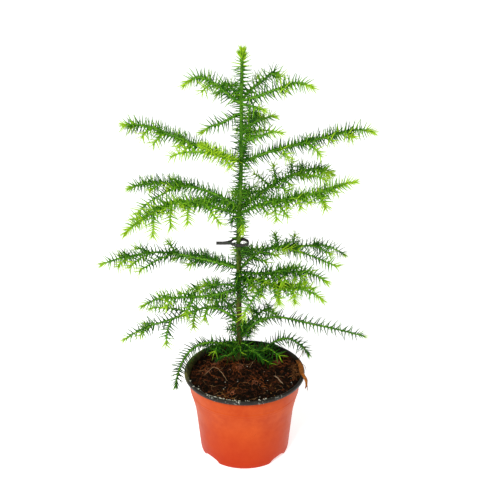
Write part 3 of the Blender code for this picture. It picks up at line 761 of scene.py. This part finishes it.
def make_boughs(greens):
    """Each bough and side shoot: a bossed green stem, and the needles on it."""
    boughs, shoots = Body(), Body()
    for index, row in enumerate(BOUGHS):
        tier, side, foot, heading, sweep, length, slopes, _, side_shoots = row
        name = f"{tier}_{side}"
        rng = np.random.default_rng(200 + index)
        needle, spacing, angle, age = TIERS[tier]
        younger, fresh = YOUTH.get(name, USUAL_YOUTH)
        age += younger
        route = wavy(bough_route(foot, heading, sweep, length, slopes), rng, 1.2 * MM)
        root = trunk_point(foot * MM)
        axis = Axis([root, root.lerp(route[0], 0.6), *route[1:]])
        radius_of = tapered(BOUGH_RADIUS, BOUGH_TIP_RADIUS)
        turn = rng.uniform(0, 2 * math.pi)
        add_stem(boughs, axis, radius_of, 10, LIMB_RING_GAP, spacing * MM, TIP_ZONE, turn, BOSS_RELIEF)
        add_needles(greens, axis, radius_of, rng, spacing * MM, needle, angle, age, fresh, start=5 * MM,
                    turn=turn)
        listed = [(shoot, age + 0.3, max(min(fresh, 14) - 1, 1)) for shoot in side_shoots]
        count = FILL.get(name, REAR_FILL if "rear" in side else 0)
        reach = FILL_REACH.get(name, USUAL_REACH)
        filling = [(shoot, age, min(fresh, 5)) for shoot in filling_shoots(count, reach, rng)]
        for shoot, shoot_age, shoot_fresh in (*listed, *filling):
            path = wavy(shoot_route(route, *shoot), rng, 0.5 * MM)
            clad_shoot(shoots, greens, path, rng, needle, angle, shoot_age, shoot_fresh)
    rng = np.random.default_rng(51)
    for height, heading, length, slope, tip_slope in STEM_SHOOTS:
        path = limb_route(trunk_point(height * MM), heading, 0, length * MM, (slope, tip_slope))
        clad_shoot(shoots, greens, wavy(path, rng, 0.5 * MM), rng, *STEM_SHOOT_NEEDLES)
    limb = mottled("bough_green", (0.035, 0.150, 0.005), (0.130, 0.310, 0.014), 180, 0.5, bump=0.1 * MM,
                   specular=0.15)
    twig = mottled("shoot_green", (0.060, 0.230, 0.008), (0.180, 0.400, 0.020), 220, 0.5, bump=0.08 * MM,
                   specular=0.15)
    limbs = [f"bough_{row[0]}_{row[1]}" for row in BOUGHS if row[7]]
    boughs.make("bough_stems", limb, "bough_bark", limbs)
    shoots.make("side_shoot_stems", twig, "bough_bark")


# --- the pot and what it holds ---


def wall_radius(height, pot_height):
    """The pot's outer radius under the lip, bending softly at the shoulder and the ridge."""
    knots = (
        (FOOT_ROUND, WALL_FOOT_RADIUS),
        (SHOULDER, SHOULDER_RADIUS),
        (RIDGE, RIDGE_RADIUS),
        (pot_height - LIP_HEIGHT, RIM_RADIUS - LIP_WIDTH),
    )
    reach = 6 * MM
    return sum(interpolate(knots, height + reach * step / 2) for step in (-2, -1, 0, 1, 2)) / 5


def notch_share(angle):
    """How far a foot at this heading is lifted into a drainage arch, from 0 to 1."""
    half = NOTCH_HALF_WIDTH / BASE_RADIUS
    best = 0.0
    for turn in NOTCH_TURNS:
        away = abs((angle - math.radians(turn) + math.pi) % (2 * math.pi) - math.pi) / half
        if away < 1:
            best = max(best, math.sqrt(1 - away * away))
    return best


def revolve(profile, shape=None):
    """Points of a profile of (radius, height) turned about Z, and their quads. shape may move a point."""
    points = []
    for radius, height in profile:
        for side in range(POT_SIDES):
            angle = 2 * math.pi * side / POT_SIDES
            r, z = shape(radius, height, angle) if shape else (radius, height)
            points.append((*spot(r, angle), z))
    return points, ring_faces(len(profile), POT_SIDES).tolist()


def arc(centre, radius, start, end, steps):
    """Points of an arc in the (radius, height) plane, angles in degrees."""
    angles = [math.radians(start + (end - start) * i / steps) for i in range(steps + 1)]
    return [(centre[0] + radius * math.cos(a), centre[1] + radius * math.sin(a)) for a in angles]


def make_pot(pot_height):
    """The terracotta outside with its ridge and arched foot, and the black lining with its rolled lip."""
    under_lip = pot_height - LIP_HEIGHT
    levels = [FOOT_ROUND + (under_lip - FOOT_ROUND) * i / 100 for i in range(101)]
    outside = []
    for z in levels:
        bead = math.exp(-((z - RIDGE) / (0.7 * MM)) ** 2)
        bead += 0.6 * math.exp(-((z - RIDGE + 2.6 * MM) / (0.6 * MM)) ** 2)
        outside.append((wall_radius(z, pot_height) + RIDGE_RISE * bead, z))
    foot_radius = outside[0][0]
    round_foot = [(BASE_RADIUS, 0.0), (BASE_RADIUS + 1.2 * MM, 0.45 * MM), (foot_radius - 0.5 * MM, 1.9 * MM)]
    under = [
        (0.0, BASE_RECESS + 1.2 * MM),
        (0.3 * BASE_RADIUS, BASE_RECESS + 1.0 * MM),
        (0.7 * BASE_RADIUS, BASE_RECESS + 0.3 * MM),
        (BASE_RADIUS - FOOT_RING - 1.2 * MM, BASE_RECESS),
        (BASE_RADIUS - FOOT_RING, 0.5 * MM),
        (BASE_RADIUS - FOOT_RING + 0.6 * MM, 0.0),
    ]

    def arched(radius, z, angle):
        lift = NOTCH_HEIGHT * notch_share(angle)
        return radius, z + lift * max(0.0, 1 - z / (2.4 * FOOT_ROUND)) if radius > 0.8 * BASE_RADIUS else z

    points, faces = revolve([*under, *round_foot, *outside], arched)
    new_piece("pot_wall", points, faces, pot_material(), ("pot",))

    lip = LIP_WIDTH / 2
    middle = (RIM_RADIUS - lip, pot_height - lip)
    tuck = (RIM_RADIUS - LIP_WIDTH + 0.9 * MM, under_lip + 0.2 * MM)
    rolled = [tuck, (RIM_RADIUS - 0.7 * MM, under_lip), (RIM_RADIUS - 0.15 * MM, under_lip + 0.5 * MM)]
    rolled += arc(middle, lip, 0, 180, 12)
    inner_levels = [under_lip - (under_lip - FOOT_ROUND) * i / 12 for i in range(13)]
    inside = [(wall_radius(z, pot_height) - WALL, z) for z in inner_levels]
    floor = [(BASE_RADIUS - 6 * MM, FOOT_ROUND + 0.6 * MM), (0.0, FOOT_ROUND + 0.6 * MM)]
    points, faces = revolve([*rolled, *inside, *floor])
    new_piece("pot_lining", points, faces, lining_material())


def soil_height(x, y):
    """The peat's surface: a mound round the stem, hollows, clods and crumbs."""
    away = math.hypot(x - TRUNK_FOOT.x, y - TRUNK_FOOT.y)
    mound = MOUND_HEIGHT * max(0.0, 1 - (away / MOUND_REACH) ** 2) ** 1.5
    place = Vector((x, y, 0))
    clods = noise.fractal(place * 75, 1.0, 2.0, 3) * 1.5 * MM
    crumbs = noise.noise(place * 330) * 0.9 * MM + noise.noise(place * 800) * 0.55 * MM
    sharp = abs(noise.noise(place * 190 + Vector((7, 3, 1)))) * 1.6 * MM
    tilt = SOIL_TILT[0] * x + SOIL_TILT[1] * y
    return SOIL_LEVEL + SOIL_LIFT + tilt + mound + clods + crumbs - sharp


def soil_edge(pot_height, height=SOIL_LEVEL):
    return wall_radius(height, pot_height) - WALL - 0.1 * MM


def make_soil(pot_height):
    """The peat: its uneven surface up to the pot's wall, and the body under it that follows the wall."""
    edge = soil_edge(pot_height)
    rings, sides = 84, 200
    angles = [2 * math.pi * side / sides for side in range(sides)]
    points = [(0.0, 0.0, soil_height(0, 0))]
    for ring in range(1, rings + 1):
        for angle in angles:
            x, y = spot(edge * ring / rings, angle)
            points.append((x, y, soil_height(x, y)))
    for index in range(len(points) - sides, len(points)):
        x, y, z = points[index]
        fit = soil_edge(pot_height, z) / edge
        points[index] = (x * fit, y * fit, z)
    levels = (RIDGE, SHOULDER, SOIL_LEVEL - SOIL_DEPTH)
    for level in levels:
        radius = wall_radius(level, pot_height) - WALL - 0.5 * MM
        points += [(*spot(radius, angle), level) for angle in angles]
    faces = [[0, 1 + side, 1 + (side + 1) % sides] for side in range(sides)]
    faces += ring_faces(rings + len(levels), sides, 1)[:, TURNED].tolist()
    faces.append([len(points) - 1 - side for side in range(sides)])
    new_piece("peat", points, faces, peat_material(), ("soil",))


def icosphere():
    """A unit sphere's points and triangles, once subdivided."""
    golden = (1 + math.sqrt(5)) / 2
    points = []
    for first, second in ((1, golden), (-1, golden), (1, -golden), (-1, -golden)):
        points += [(0, first, second), (first, second, 0), (second, 0, first)]
    points = [Vector(point).normalized() for point in points]
    near = 1.1
    faces = []
    for a in range(12):
        for b in range(a + 1, 12):
            for c in range(b + 1, 12):
                if all((points[i] - points[j]).length < near for i, j in ((a, b), (b, c), (a, c))):
                    normal = (points[b] - points[a]).cross(points[c] - points[a])
                    faces.append((a, b, c) if normal.dot(points[a]) > 0 else (a, c, b))
    middles = {}

    def middle(a, b):
        key = (min(a, b), max(a, b))
        if key not in middles:
            middles[key] = len(points)
            points.append(((points[a] + points[b]) / 2).normalized())
        return middles[key]

    fine = []
    for a, b, c in faces:
        ab, bc, ca = middle(a, b), middle(b, c), middle(c, a)
        fine += [(a, ab, ca), (b, bc, ab), (c, ca, bc), (ab, bc, ca)]
    return np.array([tuple(point) for point in points]), np.array(fine)


def add_crumb(body, ball, centre, size, rng, flat=0.7):
    """A lumpy grain: a ball pushed in and out, squeezed and turned."""
    points, faces = ball
    bumps = 1 + rng.uniform(-0.28, 0.28, len(points))
    scale = size * rng.uniform(0.6, 1.3, 3) * np.array((1, 1, flat))
    turn = rng.uniform(0, 2 * math.pi)
    cos, sin = math.cos(turn), math.sin(turn)
    shaped = points * bumps[:, None] * scale
    shaped = shaped @ np.array(((cos, sin, 0), (-sin, cos, 0), (0, 0, 1)))
    body.add(shaped + np.array(centre), faces)


def add_strand(body, points, width, sides=4):
    """A thin fibre along points, narrowing at both ends."""
    axis = Axis(points)
    place, _, side, lift = axis.at(axis.along)
    share = axis.along / axis.length
    radius = width / 2 * np.clip(1.15 - np.abs(2 * share - 1) ** 3, 0.15, 1)
    add_tube(body, place, side, lift, np.arange(sides) * 2 * math.pi / sides, radius[:, None])


def lying_strand(rng, edge, length, arch, patch=None):
    """Points of a fibre that lies on the peat, curved in plan, its middle lifted by arch.

    It starts near the middle of the patch, or anywhere in the pot.
    """
    x, y = random_spot(rng, edge * math.sqrt(0.94))
    if patch:
        x, y = (rng.normal(middle, 5.5) * MM for middle in patch)
    heading = rng.uniform(0, 2 * math.pi)
    turn = rng.uniform(-1.6, 1.6)
    steps = 7
    points = []
    for step in range(steps + 1):
        share = step / steps
        if math.hypot(x, y) > edge - 0.6 * MM:
            break
        points.append(Vector((x, y, soil_height(x, y) + 0.15 * MM + arch * math.sin(math.pi * share))))
        direction = heading + turn * share
        x += math.cos(direction) * length / steps
        y += math.sin(direction) * length / steps
    return points


def make_litter(pot_height):
    """Crumbs, fibres, chips and pale grains on the peat."""
    rng = np.random.default_rng(31)
    edge = soil_edge(pot_height)
    ball = icosphere()
    dark, red, gold, pale = Body(), Body(), Body(), Body()
    for number in range(900):
        x, y = random_spot(rng, edge - 1.5 * MM)
        size = rng.uniform(0.35, 1.5) * MM
        body = (dark, red, dark, gold if y < -20 * MM else red, dark, dark)[number % 6]
        add_crumb(body, ball, (x, y, soil_height(x, y) + 0.15 * size), size, rng)
    for number in range(34):
        x, y = random_spot(rng, edge - 1.5 * MM)
        size = rng.uniform(0.3, 0.65) * MM
        add_crumb(pale, ball, (x, y, soil_height(x, y) + 0.4 * size), size, rng)
    fibres, straws, reds = Body(), Body(), Body()
    for number in range(640):
        length = rng.uniform(3, 13) * MM
        patch = RED_PATCHES[number % len(RED_PATCHES)] if number % 5 < 2 else None
        points = lying_strand(rng, edge, length, rng.uniform(0, 1.2) * MM, patch)
        if len(points) > 3:
            body = reds if patch else (fibres if number % 8 else straws)
            add_strand(body, points, rng.uniform(0.22, 0.6) * MM)
    looks = (
        (dark, "peat_crumbs", (0.002, 0.0012, 0.0007), (0.010, 0.005, 0.0025)),
        (red, "peat_crumbs_red", (0.026, 0.007, 0.003), (0.110, 0.028, 0.008)),
        (gold, "peat_crumbs_gold", (0.070, 0.030, 0.006), (0.190, 0.085, 0.020)),
        (pale, "pale_grains", (0.30, 0.27, 0.20), (0.55, 0.52, 0.44)),
        (fibres, "peat_fibres", (0.022, 0.007, 0.003), (0.100, 0.030, 0.010)),
        (reds, "peat_fibres_red", (0.075, 0.018, 0.004), (0.270, 0.072, 0.017)),
        (straws, "peat_straws", (0.120, 0.060, 0.022), (0.280, 0.160, 0.070)),
    )
    for body, name, first, second in looks:
        body.make(name, mottled(name, first, second, 420, 0.85, specular=0.08))


def smooth_path(knots, steps):
    """Points on a curve that runs evenly through the knots."""
    knots = [Vector(knot) for knot in knots]
    ends = [2 * knots[0] - knots[1], *knots, 2 * knots[-1] - knots[-2]]
    points = []
    for index in range(len(knots) - 1):
        a, b, c, d = ends[index:index + 4]
        for step in range(steps):
            u = step / steps
            points.append(0.5 * (
                2 * b + (c - a) * u + (2 * a - 5 * b + 4 * c - d) * u * u + (3 * b - a - 3 * c + d) * u ** 3
            ))
    points.append(knots[-1])
    return points


def on_soil(plan, above):
    """Points on the peat under a plan of (x, y) in millimetres, lifted by above."""
    path = smooth_path([(x * MM, y * MM, 0) for x, y in plan], 6)
    return [Vector((p.x, p.y, soil_height(p.x, p.y) + above)) for p in path]


def make_marks():
    """The few straws and twigs that stand out on the peat, and the reddish patches."""
    rng = np.random.default_rng(8)
    straw, twig, patch = Body(), Body(), Body()
    arc_plan = ((-41, -2), (-38, 2), (-34, 9), (-30, 11), (-26, 8), (-21, -2), (-17, -12))
    add_strand(straw, on_soil(arc_plan, 0.9 * MM), 0.75 * MM, 6)
    add_strand(straw, on_soil(((5, 7), (10, 21), (13, 31)), 0.7 * MM), 0.6 * MM, 6)
    add_strand(twig, on_soil(((29, -4), (33, -12), (38, -21)), 0.9 * MM), 1.3 * MM, 8)
    for x, y in RED_PATCHES:
        for _ in range(16):
            at = np.array((x, y)) + rng.normal(0, 1.8, 2)
            turn = rng.uniform(0, math.pi)
            run = np.array((math.cos(turn), math.sin(turn))) * rng.uniform(1.0, 3.0)
            bend = rng.normal(0, 0.5, 2)
            add_strand(patch, on_soil((at - run, at + bend, at + run), rng.uniform(0.2, 0.9) * MM),
                       rng.uniform(0.3, 0.8) * MM)
    straw.make("soil_straws", mottled("soil_straw", (0.20, 0.10, 0.04), (0.38, 0.23, 0.11), 300, 0.65))
    twig.make("soil_twig", mottled("soil_twig", (0.20, 0.11, 0.06), (0.38, 0.25, 0.15), 300, 0.75))
    patch.make("soil_red_fibres", mottled("soil_red", (0.10, 0.026, 0.008), (0.30, 0.085, 0.025), 300, 0.8))


def make_rim_grains(pot_height):
    """Pale crusts and grit caught along the inner edge of the lip, from the left round to the front."""
    rng = np.random.default_rng(77)
    ball = icosphere()
    body = Body()
    clumps = ((-160, 3, 3), (-141, 9, 3), (-126, 9, 3), (-118, 6, 3), (-108, 12, 3.5), (-97, 8, 3),
              (-86, 7, 3), (-76, 5, 3), (-66, 3, 4))
    for heading, count, spread in clumps:
        for _ in range(count):
            angle = math.radians(heading + rng.normal(0, spread))
            radius = RIM_RADIUS - LIP_WIDTH * rng.uniform(0.45, 1.05)
            size = rng.uniform(0.3, 1.0) * MM
            add_crumb(body, ball, (*spot(radius, angle), pot_height - 0.25 * MM), size, rng, 0.45)
    body.make("rim_grit", mottled("grit", (0.26, 0.25, 0.17), (0.62, 0.60, 0.50), 900, 0.8, specular=0.1))


def make_tuft():
    """A torn flake of coir lying along the right of the rim, the fibres round it, and its loose hairs."""
    rng = np.random.default_rng(5)
    flake, tangle = Body(), Body()
    spine = ((53.5, 21, 86.5), (55.3, 14, 88.6), (56.4, 5, 89.6), (56.6, -5, 89.6), (57.6, -13, 90.2),
             (60.4, -17.5, 87.6), (61.0, -19, 82), (60.0, -19.5, 78.5))
    spine = [Vector(point) * MM for point in spine]
    for _ in range(70):
        shift = Vector((rng.normal(0, 0.8), rng.normal(0, 1.0), rng.normal(0, 0.35))) * MM
        first = rng.integers(0, 4)
        last = len(spine) - rng.integers(0, 3)
        knots = [point + shift * (1.25 - index / 8) + Vector(rng.normal(0, 0.25, 3)) * MM
                 for index, point in enumerate(spine)][first:last]
        add_strand(flake, smooth_path(knots, 5), rng.uniform(0.4, 1.1) * MM)
    for _ in range(34):
        x, y = rng.uniform(46, 56), rng.uniform(-15, 14)
        turn = rng.uniform(0, 2 * math.pi)
        reach = rng.uniform(2.5, 6)
        knots = [
            Vector((x + reach * k * math.cos(turn + 0.5 * k), y + reach * k * math.sin(turn + 0.5 * k),
                    86.4 + rng.uniform(-0.8, 1.6))) * MM
            for k in (-1, 0, 1)
        ]
        if all(math.hypot(knot.x, knot.y) < RIM_RADIUS for knot in knots):
            add_strand(tangle, smooth_path(knots, 5), rng.uniform(0.25, 0.6) * MM)
    loose = (
        ((46, 1, 85), (51, 9, 88), (55.5, 17, 91.5), (60, 25, 96), (63, 30, 99)),
        ((49, -5, 85), (49.6, -12, 87), (48, -18, 86)),
        ((57, 8, 90), (60, 3, 91), (61.6, -4, 89)),
        ((60.6, -16, 86), (61.8, -20, 81), (61.6, -23, 77)),
    )
    for knots in loose:
        add_strand(tangle, smooth_path([Vector(knot) * MM for knot in knots], 6), 0.6 * MM)
    coir = mottled("coir", (0.110, 0.032, 0.006), (0.460, 0.155, 0.026), 420, 0.7, specular=0.1)
    hair = mottled("coir_hair", (0.070, 0.024, 0.008), (0.230, 0.090, 0.026), 420, 0.75, specular=0.1)
    flake.make("coir_flake", coir)
    tangle.make("coir_tangle", hair)


def strap_section():
    """The strap's outline across its run: (outward, up), with rounded edges."""
    half_thick, half_band, corner = TIE_THICKNESS / 2, TIE_BAND / 2, 0.3 * MM
    outline = []
    for quarter, (x, y) in enumerate(((1, 1), (-1, 1), (-1, -1), (1, -1))):
        for step in range(3):
            angle = math.radians(90 * quarter + 45 * step)
            outline.append((
                x * (half_thick - corner) + corner * math.cos(angle),
                y * (half_band - corner) + corner * math.sin(angle),
            ))
    return np.array(outline)


def make_tie():
    """A flat strap folded round the stem, its two ends pressed together in a tail to the left."""
    half_width, half_depth = TIE_LOOP[0] - 0.5 * MM, TIE_LOOP[1] - 0.5 * MM
    end = -half_width - TIE_TAIL
    plan = [(end, -0.5, -1.0), (-1.9 * half_width, -0.5, -1.0), (-1.15 * half_width, -0.7, -0.9)]
    loop = ((215, -1.4), (250, -1.7), (290, -1.6), (325, -1.2), (360, -0.3), (35, 0.6), (70, 1.2), (110, 1.9),
            (145, 2.0))
    for degrees, height in loop:
        angle = math.radians(degrees)
        plan.append((half_width * math.cos(angle), half_depth * math.sin(angle) / MM, height))
    plan += [(-1.15 * half_width, 0.8, 0.5), (-1.9 * half_width, 0.5, -0.9), (end, 0.5, -1.0)]
    knots = [(x, y * MM, z * MM) for x, y, z in plan]
    centre = trunk_point(TIE_HEIGHT) + Vector((TIE_SHIFT, 0, 0))
    path = np.array([tuple(point + centre) for point in smooth_path(knots, 6)])
    up = np.array((0.0, 0.0, 1.0))
    out = normalised(np.cross(normalised(np.gradient(path, axis=0)), up))
    section = strap_section()
    points = path[:, None, :] + out[:, None, :] * section[None, :, :1] + up * section[None, :, 1:]
    strap = mottled("strap", (0.012, 0.013, 0.012), (0.034, 0.034, 0.030), 220, 0.5, specular=0.25,
                    bump=0.1 * MM)
    faces = tube_faces(len(path), len(section))
    new_piece("plant_tie", points.reshape(-1, 3), faces, strap, ("stem_tie",))


def make_stage():
    """A white floor and surround, a soft key light from the front left, and the camera."""
    scene = bpy.context.scene
    corners = [(x * FLOOR_HALF, y * FLOOR_HALF, 0) for x, y in ((-1, -1), (1, -1), (1, 1), (-1, 1))]
    mesh = bpy.data.meshes.new("floor")
    mesh.from_pydata(corners, [], [(0, 1, 2, 3)])
    shade = Shade("floor", 0.9, 0.1)
    shade.shader.inputs["Base Color"].default_value = (0.92, 0.92, 0.92, 1)
    shade.shader.inputs["Emission Color"].default_value = (1, 1, 1, 1)
    shade.shader.inputs["Emission Strength"].default_value = 0.58
    mesh.materials.append(shade.material)
    new_object("floor", mesh)

    world = bpy.data.worlds.new("surround")
    world.use_nodes = True
    nodes, links = world.node_tree.nodes, world.node_tree.links
    split = nodes.new("ShaderNodeSeparateXYZ")
    links.new(nodes.new("ShaderNodeTexCoord").outputs["Generated"], split.inputs["Vector"])
    fade = map_range(nodes, links, split.outputs["Z"], 0.15, 0.7, 1.0, 0.5)
    links.new(fade, nodes["Background"].inputs["Strength"])
    nodes["Background"].inputs["Color"].default_value = (1, 1, 1, 1)
    scene.world = world

    lamp = bpy.data.lights.new("key", "AREA")
    lamp.shape = "DISK"
    lamp.size = KEY_SIZE
    lamp.energy = KEY_POWER
    lamp.color = (1.0, 0.985, 0.96)
    key = new_object("key", lamp)
    key.location = KEY_PLACE
    key.rotation_euler = (KEY_TARGET - KEY_PLACE).to_track_quat("-Z", "Y").to_euler()
    scene.view_settings.view_transform = "Standard"

    data = bpy.data.cameras.new("camera")
    data.lens = LENS
    data.sensor_width = 36
    camera = new_object("camera", data)
    camera.location = CAMERA_PLACE
    camera.rotation_euler = (math.radians(CAMERA_PITCH), 0, 0)
    scene.camera = camera


def main():
    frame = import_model()
    pot_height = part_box("pot")[1].z
    greens = [Body() for _ in GREENS]
    make_trunk(greens)
    make_boughs(greens)
    masses = sorted(name for name in frame["nodes"] if name.startswith("needles_"))
    for index, (body, (name, colour)) in enumerate(zip(greens, GREENS)):
        body.make(f"needles_{name}", needle_material(name, colour), "needles", masses[index::len(GREENS)])
    make_pot(pot_height)
    make_soil(pot_height)
    make_litter(pot_height)
    make_marks()
    make_rim_grains(pot_height)
    make_tuft()
    make_tie()
    make_stage()


main()
